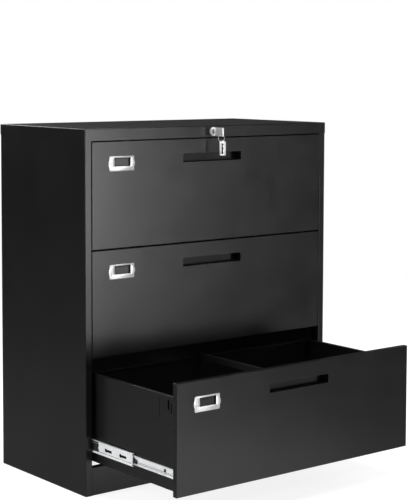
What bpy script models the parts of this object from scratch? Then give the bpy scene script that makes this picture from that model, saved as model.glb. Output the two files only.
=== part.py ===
"""Three-drawer lateral filing cabinet in folded sheet steel, bottom drawer pulled out.

Units are metres, +Z is up, the drawers open towards -Y. The origin is on the floor, under the
middle of the space that the cabinet fills with its bottom drawer out.
"""

import math

import bmesh
import bpy
from mathutils import Vector

MM = 0.001

# Overall size
WIDTH = 900 * MM
DEPTH = 450 * MM
HEIGHT = 1025 * MM
SHEET = 0.8 * MM
GAP = 0.3 * MM
FOLD_RADIUS = 1.6 * MM
FOLD_STEPS = 3
CUT_PAST = 5 * MM

# Carcass
CAP_FRONT_LIP = 33.5 * MM
CAP_SIDE_LIP = 30 * MM
CAP_FOLD_RADIUS = 2 * MM
CAP_LIP_STEP_Y = 3 * MM
PANEL_HALF_WIDTH = WIDTH / 2 - SHEET - GAP
PANEL_DEPTH = DEPTH - 2 * (SHEET + GAP)
PANEL_TOP = HEIGHT - SHEET - 2 * GAP
OPENING_HALF_WIDTH = 427.5 * MM
STILE_RETURN = 20 * MM
REAR_FLANGE = 20 * MM
KICK_HEIGHT = 80 * MM
KICK_FLANGE = 20 * MM
BACK_FLANGE = 15 * MM

# Drawers
DRAWER_NAMES = ("bottom", "middle", "top")
DRAWER_PITCH = 303 * MM
FIRST_DRAWER_Z = KICK_HEIGHT + 3 * MM
DRAWER_TRAVEL = 384 * MM
OPEN_DRAWER = "bottom"
FRONT_WIDTH = 852.6 * MM
FRONT_HEIGHT = 300 * MM
FRONT_THICKNESS = 16 * MM
FRONT_LIP = 14 * MM
SLOT_WIDTH = 217 * MM
SLOT_HEIGHT = 25 * MM
SLOT_BELOW_TOP = 42.5 * MM
RECESS_DEPTH = 31 * MM
RETURN_HOLE_HEIGHTS = (43 * MM, 174 * MM, 222 * MM)
RETURN_HOLE_Y = 10 * MM
RETURN_HOLE_RADIUS = 2.2 * MM
BOX_HALF_WIDTH = 415 * MM
BOX_BOTTOM = 10 * MM
BOX_TOP = 260 * MM
BOX_REAR = 418 * MM
INNER_FRONT_Y = 33 * MM
RAIL_WIDTH = 10 * MM
RAIL_LIP = 6 * MM
BOX_BOTTOM_FLANGE = 12 * MM
LOCK_SLOT_HALF_WIDTH = 4 * MM
LOCK_SLOT_CLEARANCE = 1.5 * MM

# Label holder
LABEL_CENTRE_X = -326 * MM
LABEL_WIDTH = 84 * MM
LABEL_HEIGHT = 41.5 * MM
LABEL_BELOW_TOP = 42 * MM
LABEL_PROUD = 2.5 * MM
LABEL_WINDOW_WIDTH = 55 * MM
LABEL_WINDOW_HEIGHT = 24 * MM
LABEL_TOP_BAR = 4.5 * MM
LABEL_WINDOW_SHIFT = 2.5 * MM
EAR_RADIUS = 16.5 * MM
EAR_REACH = 3 * MM

# Hanging-file crossbar
CROSSBAR_X = -22 * MM
CROSSBAR_WIDTH = 12 * MM
CROSSBAR_TOP = 268 * MM
CROSSBAR_LEG_BOTTOM = 250 * MM

# Ball-bearing slides: heights are measured from the slide's centre line
SLIDE_Z = 58 * MM
SLIDE_SHEET = 1.2 * MM
SLIDE_FOLD_RADIUS = 2 * MM
SLIDE_DEPTH = 12.7 * MM
OUTER_HALF_HEIGHT = 22.5 * MM
MIDDLE_HALF_HEIGHT = 17.6 * MM
INNER_HALF_HEIGHT = 12 * MM
OUTER_START = 21 * MM
OUTER_LENGTH = 384 * MM
MIDDLE_START = 17 * MM
MIDDLE_LENGTH = 360 * MM
MIDDLE_TRAVEL = 204 * MM
INNER_START = 20 * MM
INNER_LENGTH = 380 * MM
KEYHOLE_STARTS = (29 * MM, 98 * MM)
KEYHOLE_LENGTH = 28 * MM
KEYHOLE_SLOT_HALF = 3.7 * MM
KEYHOLE_RADIUS = 5.6 * MM
LATCH_HOLE_START = 37 * MM
LATCH_HOLE_SIZE = 10 * MM

# Uprights that carry the slides
UPRIGHT_WIDTH = 30 * MM
UPRIGHT_FRONT_Y = 30 * MM
UPRIGHT_REAR_Y = 370 * MM
UPRIGHT_BOTTOM = 3 * MM
UPRIGHT_TOP = 1020 * MM
HOOK_SLOT_WIDTH = 5 * MM
HOOK_SLOT_HEIGHT = 18 * MM
HOOK_SLOT_HEIGHTS = (90 * MM, 150 * MM, 210 * MM)

# Lock
LOCK_Z = 1007 * MM
LOCK_FACE_RADIUS = 13 * MM
LOCK_FACE_THICKNESS = 5 * MM
LOCK_BARREL_RADIUS = 9.5 * MM
LOCK_BARREL_END = 20 * MM
PLUG_RADIUS = 7 * MM
PLUG_END = 22 * MM
NUT_RADIUS = 12.5 * MM
NUT_THICKNESS = 4 * MM
TAIL_RADIUS = 3 * MM
TAIL_FLANGE_RADIUS = 6 * MM
TAIL_FLANGE_THICKNESS = 2 * MM
TAIL_END = 428 * MM
CRANK_THICKNESS = 4 * MM
CRANK_RIM = 4 * MM
CRANK_PIN_RADIUS = 2 * MM
CRANK_PIN_END = 436 * MM
LOCK_BAR_LIFT = 9 * MM
CRANK_RADIUS = LOCK_BAR_LIFT / math.sqrt(2)
KEYWAY_HALF_HEIGHT = 4.6 * MM
KEY_THICKNESS = 2 * MM
KEY_RING_HOLE_Y = -40 * MM

# Locking bar at the back
BAR_Y = 430 * MM
BAR_THICKNESS = 2 * MM
BAR_WIDTH = 24 * MM
BAR_BOTTOM = 298 * MM
BAR_TOP = 1010 * MM
HOOK_Z = 224 * MM
HOOK_ARM = 4 * MM
HOOK_RISE = 12 * MM
HOOK_TIP_Y = 406 * MM
HOOK_THICKNESS = 3 * MM
HOOK_TIP_THICKNESS = 4 * MM
PIN_SLOT_CLEARANCE = 0.5 * MM
GUIDE_SLOT_HEIGHTS = (440 * MM, 860 * MM)
GUIDE_SLOT_HALF_WIDTH = 2.7 * MM
GUIDE_SLOT_HALF_HEIGHT = 8 * MM

# The front plane's place, so that the origin is under the middle of the whole
FRONT_Y = (DRAWER_TRAVEL + LABEL_PROUD - (DEPTH - SHEET - GAP)) / 2

MATERIALS = {
    "black_paint": ((0.022, 0.022, 0.023, 1), 0.42, 0.0),
    "zinc": ((0.72, 0.73, 0.74, 1), 0.3, 1.0),
    "chrome": ((0.86, 0.86, 0.87, 1), 0.12, 1.0),
    "steel": ((0.5, 0.5, 0.51, 1), 0.35, 1.0),
}


# ---------------------------------------------------------------- scene and objects


def clear_scene():
    for scene_object in list(bpy.data.objects):
        bpy.data.objects.remove(scene_object, do_unlink=True)


def new_collection(name):
    collection = bpy.data.collections.new(name)
    bpy.context.scene.collection.children.link(collection)
    return collection


def make_material(node_name, kind):
    """Each sub-part gets its own material, with the colour and finish of its kind."""
    colour, roughness, metallic = MATERIALS[kind]
    material = bpy.data.materials.new(node_name)
    material.use_nodes = True
    shader = material.node_tree.nodes["Principled BSDF"]
    shader.inputs["Base Color"].default_value = colour
    shader.inputs["Roughness"].default_value = roughness
    shader.inputs["Metallic"].default_value = metallic
    return material


def add_part(name, mesh, kind, parent=None):
    part = bpy.data.objects.new(name, mesh)
    parts.objects.link(part)
    mesh.materials.append(make_material(name, kind))
    part.parent = parent
    return part


def add_cutter(name, mesh, parent):
    cutter = bpy.data.objects.new(name, mesh)
    cutters.objects.link(cutter)
    cutter.hide_render = True
    cutter.display_type = "WIRE"
    cutter.parent = parent
    return cutter


def add_anchor(name, location, parent=None):
    """An empty on a joint's axis, or at the corner that a group is measured from."""
    anchor = bpy.data.objects.new(name, None)
    parts.objects.link(anchor)
    anchor.empty_display_size = 0.03
    anchor.location = location
    anchor.parent = parent
    return anchor


def combine(part, tool, operation):
    modifier = part.modifiers.new(tool.name, "BOOLEAN")
    modifier.operation = operation
    modifier.solver = "EXACT"
    modifier.object = tool


def cut(part, tool):
    combine(part, tool, "DIFFERENCE")


def join(part, tool):
    combine(part, tool, "UNION")


# ---------------------------------------------------------------- meshes


def finish_mesh(name, bm):
    mesh = bpy.data.meshes.new(name)
    bm.to_mesh(mesh)
    bm.free()
    return mesh


def box_bmesh(low, high):
    bm = bmesh.new()
    bmesh.ops.create_cube(bm, size=1.0)
    low = Vector(low)
    high = Vector(high)
    for vert in bm.verts:
        vert.co = (low + high) / 2 + vert.co * (high - low)
    return bm


def box_mesh(name, low, high):
    return finish_mesh(name, box_bmesh(low, high))


def cylinder_mesh(name, axis, centre, radius, start, end, sides=32):
    """A cylinder along X, Y or Z, from start to end on that axis."""
    bm = bmesh.new()
    bmesh.ops.create_cone(
        bm, cap_ends=True, segments=sides, radius1=radius, radius2=radius, depth=end - start
    )
    middle = (start + end) / 2
    for vert in bm.verts:
        across, up, along = vert.co
        along += middle
        if axis == "Y":
            vert.co = (centre[0] + across, along, centre[1] - up)
        elif axis == "X":
            vert.co = (along, centre[0] + across, centre[1] + up)
        else:
            vert.co = (centre[0] + across, centre[1] + up, along)
    return finish_mesh(name, bm)


def cut_box(part, low, high, label="cut"):
    name = f"{part.name}_{label}"
    cut(part, add_cutter(name, box_mesh(name, low, high), part.parent))


def cut_cylinder(part, axis, centre, radius, start, end, label):
    name = f"{part.name}_{label}"
    mesh = cylinder_mesh(name, axis, centre, radius, start, end)
    cut(part, add_cutter(name, mesh, part.parent))


def join_cylinder(part, axis, centre, radius, start, end, label):
    name = f"{part.name}_{label}"
    mesh = cylinder_mesh(name, axis, centre, radius, start, end)
    join(part, add_cutter(name, mesh, part.parent))


def thicken(part, thickness, offset):
    modifier = part.modifiers.new("thickness", "SOLIDIFY")
    modifier.thickness = thickness
    modifier.offset = offset
    modifier.use_even_offset = True
    modifier.use_quality_normals = True


def rounded_path(points, radius):
    """The path with an arc of the given radius at each inner corner."""
    points = [Vector(point) for point in points]
    result = [points[0]]
    for before, corner, after in zip(points, points[1:], points[2:]):
        entering = (before - corner).normalized()
        leaving = (after - corner).normalized()
        half_angle = entering.angle(leaving) / 2
        tangent = radius / math.tan(half_angle)
        centre = corner + (entering + leaving).normalized() * radius / math.sin(half_angle)
        first = corner + entering * tangent - centre
        last = corner + leaving * tangent - centre
        for step in range(FOLD_STEPS + 1):
            spread = first.slerp(last, step / FOLD_STEPS)
            result.append(centre + spread.normalized() * radius)
    result.append(points[-1])
    return result


def folded_sheet(name, kind, path, axis, start, end, side, parent=None,
                 thickness=SHEET, radius=FOLD_RADIUS):
    """A bent sheet: an outline of its outer face, drawn out along an axis.

    The outline is in the XY plane for axis Z, XZ for axis Y and YZ for axis X. The thickness
    grows to the side of the outline's direction that side names, left or right.
    """
    bm = bmesh.new()
    rows = []
    for across, up in rounded_path(path, radius):
        if axis == "Z":
            ends = ((across, up, start), (across, up, end))
        elif axis == "Y":
            ends = ((across, end, up), (across, start, up))
        else:
            ends = ((start, across, up), (end, across, up))
        rows.append([bm.verts.new(point) for point in ends])
    for (near, near_end), (far, far_end) in zip(rows, rows[1:]):
        bm.faces.new((near, far, far_end, near_end))
    part = add_part(name, finish_mesh(name, bm), kind, parent)
    thicken(part, thickness, -1 if side == "left" else 1)
    return part


def sheet_pan(name, kind, low, high, open_side, parent=None, lip=0, radius=FOLD_RADIUS):
    """A folded tray. Its open side is a unit vector, and a lip narrows the mouth."""
    bm = box_bmesh(low, high)
    bm.faces.ensure_lookup_table()
    mouth = max(bm.faces, key=lambda face: face.normal.dot(Vector(open_side)))
    folds = [edge for edge in bm.edges if lip or mouth not in edge.link_faces]
    if lip:
        bmesh.ops.inset_individual(bm, faces=[mouth], thickness=lip)
    bmesh.ops.delete(bm, geom=[mouth], context="FACES_ONLY")
    bmesh.ops.bevel(
        bm, geom=folds, offset=radius, segments=FOLD_STEPS, profile=0.5, affect="EDGES"
    )
    part = add_part(name, finish_mesh(name, bm), kind, parent)
    thicken(part, SHEET, -1)
    return part


def arc(centre, radius, start, end, steps):
    """Points on an arc, angles in degrees."""
    points = []
    for step in range(steps + 1):
        angle = math.radians(start + (end - start) * step / steps)
        points.append(
            (centre[0] + radius * math.cos(angle), centre[1] + radius * math.sin(angle))
        )
    return points


def rounded_rectangle(low, high, radius, steps=3):
    left, bottom = low
    right, top = high
    return (
        arc((right - radius, bottom + radius), radius, -90, 0, steps)
        + arc((right - radius, top - radius), radius, 0, 90, steps)
        + arc((left + radius, top - radius), radius, 90, 180, steps)
        + arc((left + radius, bottom + radius), radius, 180, 270, steps)
    )


def plate_mesh(name, outlines, thickness, rotation):
    """A flat plate from closed outlines, the first its edge and the others its holes."""
    curve = bpy.data.curves.new(name, "CURVE")
    curve.dimensions = "2D"
    curve.fill_mode = "BOTH"
    curve.extrude = thickness / 2
    for outline in outlines:
        spline = curve.splines.new("POLY")
        spline.points.add(len(outline) - 1)
        for point, (across, up) in zip(spline.points, outline):
            point.co = (across, up, 0, 1)
        spline.use_cyclic_u = True
    guide = bpy.data.objects.new(name, curve)
    cutters.objects.link(guide)
    guide.rotation_euler = rotation
    bpy.context.view_layer.update()
    evaluated = guide.evaluated_get(bpy.context.evaluated_depsgraph_get())
    mesh = bpy.data.meshes.new_from_object(evaluated)
    mesh.transform(guide.matrix_world)
    bpy.data.objects.remove(guide, do_unlink=True)
    bm = bmesh.new()
    bm.from_mesh(mesh)
    bmesh.ops.remove_doubles(bm, verts=bm.verts, dist=0.00001)
    bm.to_mesh(mesh)
    bm.free()
    return mesh


def turned_part(name, kind, profile, parent, steps=32):
    """A solid of revolution about the Y axis: profile points are (radius, place on Y)."""
    bm = bmesh.new()
    corners = [bm.verts.new((radius, along, 0)) for radius, along in profile]
    for first, second in zip(corners, corners[1:] + corners[:1]):
        bm.edges.new((first, second))
    part = add_part(name, finish_mesh(name, bm), kind, parent)
    modifier = part.modifiers.new("turn", "SCREW")
    modifier.axis = "Y"
    modifier.steps = steps
    modifier.render_steps = steps
    modifier.use_merge_vertices = True
    modifier.merge_threshold = 0.00001
    modifier.use_normal_calculate = True
    return part


def shade_round(part):
    part.data.shade_smooth()
    part.data.set_sharp_from_angle(angle=math.radians(35))


def mirrored(side, *points):
    """The outline as drawn for the right-hand side (+1), or mirrored to the left (-1)."""
    return [(side * x, y) for x, y in points]


def turn_of(side, right_hand_turn):
    """Which way an outline's thickness grows once it has been mirrored."""
    if side > 0:
        return right_hand_turn
    return "left" if right_hand_turn == "right" else "right"


SIDES = (("left", -1), ("right", 1))


# ---------------------------------------------------------------- carcass


def build_side_panels(cabinet):
    half = PANEL_HALF_WIDTH
    for word, side in SIDES:
        outline = mirrored(
            side,
            (OPENING_HALF_WIDTH, STILE_RETURN),
            (OPENING_HALF_WIDTH, 0),
            (half, 0),
            (half, PANEL_DEPTH),
            (half - REAR_FLANGE, PANEL_DEPTH),
        )
        folded_sheet(
            f"{word}_side_panel", "black_paint", outline, "Z", 0, PANEL_TOP,
            turn_of(side, "left"), cabinet,
        )


def build_back_panel(cabinet):
    rear = PANEL_DEPTH - SHEET - GAP
    outline = [
        (rear - BACK_FLANGE, 0),
        (rear, 0),
        (rear, PANEL_TOP),
        (rear - BACK_FLANGE, PANEL_TOP),
    ]
    half = PANEL_HALF_WIDTH - SHEET - GAP
    folded_sheet("back_panel", "black_paint", outline, "X", -half, half, "left", cabinet)


def build_top_cap(cabinet):
    overhang = SHEET + GAP
    cap = sheet_pan(
        "top_cap", "black_paint",
        (-WIDTH / 2, -overhang, HEIGHT - CAP_FRONT_LIP),
        (WIDTH / 2, DEPTH - overhang, HEIGHT),
        (0, 0, -1), cabinet, radius=CAP_FOLD_RADIUS,
    )
    cut_box(
        cap,
        (-WIDTH, CAP_LIP_STEP_Y, HEIGHT - 2 * CAP_FRONT_LIP),
        (WIDTH, DEPTH * 2, HEIGHT - CAP_SIDE_LIP),
        "side_lip_cut",
    )
    hole = LOCK_BARREL_RADIUS + GAP
    cut_cylinder(cap, "Y", (0, LOCK_Z), hole, -CUT_PAST, CUT_PAST, "lock_hole")


def build_kick_plate(cabinet):
    outline = [
        (KICK_FLANGE, KICK_HEIGHT),
        (0, KICK_HEIGHT),
        (0, 0),
        (KICK_FLANGE, 0),
    ]
    half = OPENING_HALF_WIDTH - GAP
    folded_sheet("kick_plate", "black_paint", outline, "X", -half, half, "left", cabinet)


def build_uprights(cabinet):
    inner = BOX_HALF_WIDTH + SLIDE_DEPTH + GAP
    outer = PANEL_HALF_WIDTH - SHEET - GAP
    for word, side in SIDES:
        for place, start in (("front", UPRIGHT_FRONT_Y), ("rear", UPRIGHT_REAR_Y)):
            outline = mirrored(
                side,
                (outer, start),
                (inner, start),
                (inner, start + UPRIGHT_WIDTH),
                (outer, start + UPRIGHT_WIDTH),
            )
            upright = folded_sheet(
                f"{word}_{place}_upright", "black_paint", outline, "Z",
                UPRIGHT_BOTTOM, UPRIGHT_TOP, turn_of(side, "right"), cabinet,
                thickness=SLIDE_SHEET,
            )
            middle = start + UPRIGHT_WIDTH / 2
            edges = sorted((side * (inner - 2 * MM), side * (inner + 3 * MM)))
            for index in range(len(DRAWER_NAMES)):
                for above in HOOK_SLOT_HEIGHTS:
                    z = FIRST_DRAWER_Z + index * DRAWER_PITCH + above
                    cut_box(
                        upright,
                        (edges[0], middle - HOOK_SLOT_WIDTH / 2, z),
                        (edges[1], middle + HOOK_SLOT_WIDTH / 2, z + HOOK_SLOT_HEIGHT),
                        f"hook_slot_{index}_{above:.3f}",
                    )


# ---------------------------------------------------------------- slides


def slide_outline(side, *points):
    """Slide outlines are drawn outwards from the drawer's side, about the centre line."""
    return [(side * (BOX_HALF_WIDTH + out), SLIDE_Z + up) for out, up in points]


def build_outer_member(name, side, level):
    far = SLIDE_DEPTH
    half = OUTER_HALF_HEIGHT
    near = 4.4 * MM
    outline = slide_outline(side, (near, half), (far, half), (far, -half), (near, -half))
    folded_sheet(
        name, "zinc", outline, "Y", OUTER_START, OUTER_START + OUTER_LENGTH,
        turn_of(side, "right"), level, SLIDE_SHEET, SLIDE_FOLD_RADIUS,
    )


def build_middle_member(name, side, carriage):
    near = 3.6 * MM
    race = 10.4 * MM
    web = 9 * MM
    half = MIDDLE_HALF_HEIGHT
    race_edge = 12.4 * MM
    web_edge = 11 * MM
    outline = slide_outline(
        side,
        (near, half),
        (race, half),
        (race, race_edge),
        (web, web_edge),
        (web, -web_edge),
        (race, -race_edge),
        (race, -half),
        (near, -half),
    )
    member = folded_sheet(
        name, "zinc", outline, "Y", 0, MIDDLE_LENGTH,
        turn_of(side, "right"), carriage, SLIDE_SHEET, SLIDE_FOLD_RADIUS,
    )
    low, high = sorted((side * (BOX_HALF_WIDTH + 5 * MM), side * (BOX_HALF_WIDTH + 13 * MM)))
    for index, start in enumerate(KEYHOLE_STARTS):
        round_y = start + KEYHOLE_LENGTH
        cut_box(
            member,
            (low, start, SLIDE_Z - KEYHOLE_SLOT_HALF),
            (high, round_y, SLIDE_Z + KEYHOLE_SLOT_HALF),
            f"keyhole_slot_{index}",
        )
        cut_cylinder(
            member, "X", (round_y, SLIDE_Z), KEYHOLE_RADIUS, low, high, f"keyhole_round_{index}"
        )


def build_inner_member(name, side, drawer):
    near = GAP
    far = 6.3 * MM
    half = INNER_HALF_HEIGHT
    outline = slide_outline(side, (far, half), (near, half), (near, -half), (far, -half))
    member = folded_sheet(
        name, "zinc", outline, "Y", INNER_START, INNER_START + INNER_LENGTH,
        turn_of(side, "left"), drawer, SLIDE_SHEET, SLIDE_FOLD_RADIUS,
    )
    low, high = sorted((side * (BOX_HALF_WIDTH - 1 * MM), side * (BOX_HALF_WIDTH + 4 * MM)))
    hole_start = INNER_START + LATCH_HOLE_START
    cut_box(
        member,
        (low, hole_start, SLIDE_Z - LATCH_HOLE_SIZE / 2),
        (high, hole_start + LATCH_HOLE_SIZE, SLIDE_Z + LATCH_HOLE_SIZE / 2),
        "latch_hole",
    )


# ---------------------------------------------------------------- drawers


def build_drawer_front(prefix, drawer):
    half = FRONT_WIDTH / 2
    front = sheet_pan(
        f"{prefix}_drawer_front", "black_paint",
        (-half, 0, 0), (half, FRONT_THICKNESS, FRONT_HEIGHT),
        (0, 1, 0), drawer, lip=FRONT_LIP,
    )
    top = FRONT_HEIGHT - SLOT_BELOW_TOP
    cut_box(
        front,
        (-SLOT_WIDTH / 2, -CUT_PAST, top - SLOT_HEIGHT),
        (SLOT_WIDTH / 2, CUT_PAST, top),
        "handle_slot",
    )
    near, far = half - FRONT_LIP / 2, half + CUT_PAST
    for word, side in SIDES:
        low, high = sorted((side * near, side * far))
        for index, z in enumerate(RETURN_HOLE_HEIGHTS):
            cut_cylinder(
                front, "X", (RETURN_HOLE_Y, z), RETURN_HOLE_RADIUS, low, high,
                f"{word}_return_hole_{index}",
            )
    sheet_pan(
        f"{prefix}_handle_recess", "black_paint",
        (-SLOT_WIDTH / 2 - SHEET, SHEET + GAP, top - SLOT_HEIGHT - SHEET),
        (SLOT_WIDTH / 2 + SHEET, RECESS_DEPTH, top + SHEET),
        (0, -1, 0), drawer,
    )


def build_label_holder(prefix, drawer):
    """A flat frame with a half-round ear on each end and an open window for the card."""
    half_width = LABEL_WIDTH / 2
    half_height = LABEL_HEIGHT / 2
    corner = 2 * MM
    ear_centre = half_width + EAR_REACH - EAR_RADIUS
    ear_angle = math.degrees(math.acos((half_width - ear_centre) / EAR_RADIUS))
    edge = []
    for turn in (1, -1):
        middle_x = turn * ear_centre
        start = 0 if turn > 0 else 180
        edge += arc(
            (turn * (half_width - corner), -turn * (half_height - corner)),
            corner, start - 90, start, 3,
        )
        edge += arc((middle_x, 0), EAR_RADIUS, start - ear_angle, start + ear_angle, 6)
        edge += arc(
            (turn * (half_width - corner), turn * (half_height - corner)),
            corner, start, start + 90, 3,
        )
    window_top = half_height - LABEL_TOP_BAR
    window = rounded_rectangle(
        (LABEL_WINDOW_SHIFT - LABEL_WINDOW_WIDTH / 2, window_top - LABEL_WINDOW_HEIGHT),
        (LABEL_WINDOW_SHIFT + LABEL_WINDOW_WIDTH / 2, window_top), 1 * MM,
    )
    name = f"{prefix}_label_holder"
    upright = (math.radians(90), 0, 0)
    mesh = plate_mesh(name, [edge, window], LABEL_PROUD - GAP, upright)
    holder = add_part(name, mesh, "chrome", drawer)
    holder.location = (
        LABEL_CENTRE_X,
        -(LABEL_PROUD + GAP) / 2,
        FRONT_HEIGHT - LABEL_BELOW_TOP - half_height,
    )


def build_drawer_sides(prefix, drawer):
    half = BOX_HALF_WIDTH
    start = FRONT_THICKNESS + GAP
    for word, side in SIDES:
        outline = mirrored(
            side,
            (half - RAIL_WIDTH, BOX_TOP - RAIL_LIP),
            (half - RAIL_WIDTH, BOX_TOP),
            (half, BOX_TOP),
            (half, BOX_BOTTOM),
            (half - BOX_BOTTOM_FLANGE, BOX_BOTTOM),
        )
        wall = folded_sheet(
            f"{prefix}_drawer_{word}_side", "black_paint", outline, "Y",
            start, BOX_REAR, turn_of(side, "right"), drawer,
        )
        low, high = sorted((side * (half - 3 * MM), side * (half + 3 * MM)))
        rail_slots = (
            (35 * MM, 4 * MM, 212 * MM, 240 * MM),
            (46 * MM, 7 * MM, 222 * MM, 248 * MM),
            (88 * MM, 1.6 * MM, 195 * MM, 250 * MM),
        )
        for index, (y, slot_width, bottom, top) in enumerate(rail_slots):
            cut_box(
                wall, (low, y, bottom), (high, y + slot_width, top), f"rail_slot_{index}"
            )


def build_drawer_ends(prefix, drawer):
    """The box's own front and back walls, each with a folded rail along its top."""
    half = BOX_HALF_WIDTH - SHEET - GAP
    rail_half = BOX_HALF_WIDTH - RAIL_WIDTH - GAP
    walls = (
        ("inner_front", INNER_FRONT_Y, 1),
        ("back", BOX_REAR, -1),
    )
    for word, face, inward in walls:
        outline = [
            (face, BOX_BOTTOM + SHEET + GAP),
            (face, BOX_TOP),
            (face + inward * RAIL_WIDTH, BOX_TOP),
            (face + inward * RAIL_WIDTH, BOX_TOP - RAIL_LIP),
        ]
        wall = folded_sheet(
            f"{prefix}_drawer_{word}", "black_paint", outline, "X", -half, half,
            "right" if inward > 0 else "left", drawer,
        )
        near, far = sorted((face + inward * 2 * SHEET, face + inward * 2 * RAIL_WIDTH))
        for side_word, side in SIDES:
            low, high = sorted((side * rail_half, side * (half + CUT_PAST)))
            cut_box(
                wall,
                (low, near, BOX_TOP - 2 * RAIL_WIDTH),
                (high, far, BOX_TOP + CUT_PAST),
                f"{side_word}_rail_end",
            )
            cut_box(
                wall,
                (low, face - CUT_PAST, BOX_TOP - RAIL_LIP - GAP),
                (high, face + CUT_PAST, BOX_TOP + CUT_PAST),
                f"{side_word}_corner_notch",
            )
        if word == "back":
            cut_box(
                wall,
                (-LOCK_SLOT_HALF_WIDTH, face - CUT_PAST, HOOK_Z - LOCK_SLOT_CLEARANCE),
                (
                    LOCK_SLOT_HALF_WIDTH,
                    face + CUT_PAST,
                    HOOK_Z + HOOK_RISE + LOCK_SLOT_CLEARANCE,
                ),
                "lock_slot",
            )


def build_drawer_bottom(prefix, drawer):
    half = BOX_HALF_WIDTH - SHEET - GAP
    low_z = BOX_BOTTOM + SHEET + GAP
    start = INNER_FRONT_Y + SHEET + GAP
    end = BOX_REAR - SHEET - GAP
    mesh = box_mesh("drawer_bottom", (-half, start, low_z), (half, end, low_z + SHEET))
    add_part(f"{prefix}_drawer_bottom", mesh, "black_paint", drawer)


def build_crossbar(prefix, drawer):
    """An upturned channel that lies across the two rails, its sides hanging between them."""
    anchor = add_anchor(f"{prefix}_crossbar_track", (CROSSBAR_X, 0, 0), drawer)
    half = CROSSBAR_WIDTH / 2
    outline = [
        (-half, CROSSBAR_LEG_BOTTOM),
        (-half, CROSSBAR_TOP),
        (half, CROSSBAR_TOP),
        (half, CROSSBAR_LEG_BOTTOM),
    ]
    bar = folded_sheet(
        f"{prefix}_crossbar", "black_paint", outline, "Y",
        INNER_FRONT_Y, BOX_REAR, "right", anchor, SLIDE_SHEET, FOLD_RADIUS + SLIDE_SHEET,
    )
    ends = (
        (INNER_FRONT_Y - CUT_PAST, INNER_FRONT_Y + RAIL_WIDTH + GAP),
        (BOX_REAR - RAIL_WIDTH - GAP, BOX_REAR + CUT_PAST),
    )
    for index, (near, far) in enumerate(ends):
        cut_box(
            bar,
            (-CROSSBAR_WIDTH, near, CROSSBAR_LEG_BOTTOM - CUT_PAST),
            (CROSSBAR_WIDTH, far, BOX_TOP + GAP),
            f"rail_notch_{index}",
        )


def build_drawers(cabinet):
    for index, prefix in enumerate(DRAWER_NAMES):
        z = FIRST_DRAWER_Z + index * DRAWER_PITCH
        is_open = prefix == OPEN_DRAWER
        out = DRAWER_TRAVEL if is_open else 0
        middle_out = MIDDLE_TRAVEL if is_open else 0
        level = add_anchor(f"{prefix}_level", (0, 0, z), cabinet)
        carriage = add_anchor(f"{prefix}_carriage", (0, MIDDLE_START - middle_out, z), cabinet)
        drawer = add_anchor(f"{prefix}_drawer", (0, -out, z), cabinet)
        for word, side in SIDES:
            build_outer_member(f"{prefix}_{word}_slide_outer", side, level)
            build_middle_member(f"{prefix}_{word}_slide_middle", side, carriage)
            build_inner_member(f"{prefix}_{word}_slide_inner", side, drawer)
        build_drawer_front(prefix, drawer)
        build_label_holder(prefix, drawer)
        build_drawer_sides(prefix, drawer)
        build_drawer_ends(prefix, drawer)
        build_drawer_bottom(prefix, drawer)
        build_crossbar(prefix, drawer)


# ---------------------------------------------------------------- lock


def build_lock_housing(lock_axis):
    face_front = -SHEET - 2 * GAP - LOCK_FACE_THICKNESS
    face_back = -SHEET - 2 * GAP
    bore = PLUG_RADIUS + GAP
    chamfer = 1.2 * MM
    profile = [
        (LOCK_FACE_RADIUS - chamfer, face_front),
        (LOCK_FACE_RADIUS, face_front + chamfer),
        (LOCK_FACE_RADIUS, face_back),
        (LOCK_BARREL_RADIUS, face_back),
        (LOCK_BARREL_RADIUS, LOCK_BARREL_END),
        (bore, LOCK_BARREL_END),
        (bore, face_front),
    ]
    shade_round(turned_part("lock_housing", "chrome", profile, lock_axis))


def build_lock_nut(lock_axis):
    """The hexagonal nut that holds the housing to the cap's lip."""
    mesh = cylinder_mesh("lock_nut", "Y", (0, 0), NUT_RADIUS, 0, NUT_THICKNESS, sides=6)
    nut = add_part("lock_nut", mesh, "steel", lock_axis)
    bore = LOCK_BARREL_RADIUS + GAP
    cut_cylinder(nut, "Y", (0, 0), bore, -CUT_PAST, NUT_THICKNESS + CUT_PAST, "bore")


def build_lock_plug(lock_axis):
    """The round plug that the key turns, with its keyway."""
    front = -SHEET - GAP - LOCK_FACE_THICKNESS
    mesh = cylinder_mesh("lock_plug", "Y", (0, 0), PLUG_RADIUS, front, PLUG_END, 40)
    plug = add_part("lock_plug", mesh, "steel", lock_axis)
    shade_round(plug)
    half = KEY_THICKNESS / 2 + GAP
    cut_box(
        plug,
        (-half, front - CUT_PAST, -KEYWAY_HALF_HEIGHT),
        (half, PLUG_END - 3 * MM, KEYWAY_HALF_HEIGHT),
        "keyway",
    )


def build_lock_tailpiece(lock_axis):
    """The rod behind the plug, with the crank and the pin that lift the locking bar."""
    start = PLUG_END + GAP
    flange_end = start + TAIL_FLANGE_THICKNESS
    mesh = cylinder_mesh("lock_tailpiece", "Y", (0, 0), TAIL_FLANGE_RADIUS, start, flange_end)
    tail = add_part("lock_tailpiece", mesh, "steel", lock_axis)
    shade_round(tail)
    lap = 1 * MM
    crank_start = TAIL_END - CRANK_THICKNESS
    pin = (-CRANK_RADIUS / math.sqrt(2), -CRANK_RADIUS / math.sqrt(2))
    join_cylinder(tail, "Y", (0, 0), TAIL_RADIUS, flange_end - lap, crank_start + lap, "rod")
    join_cylinder(tail, "Y", (0, 0), CRANK_RADIUS + CRANK_RIM, crank_start, TAIL_END, "crank")
    join_cylinder(tail, "Y", pin, CRANK_PIN_RADIUS, TAIL_END - lap, CRANK_PIN_END, "crank_pin")


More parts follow.
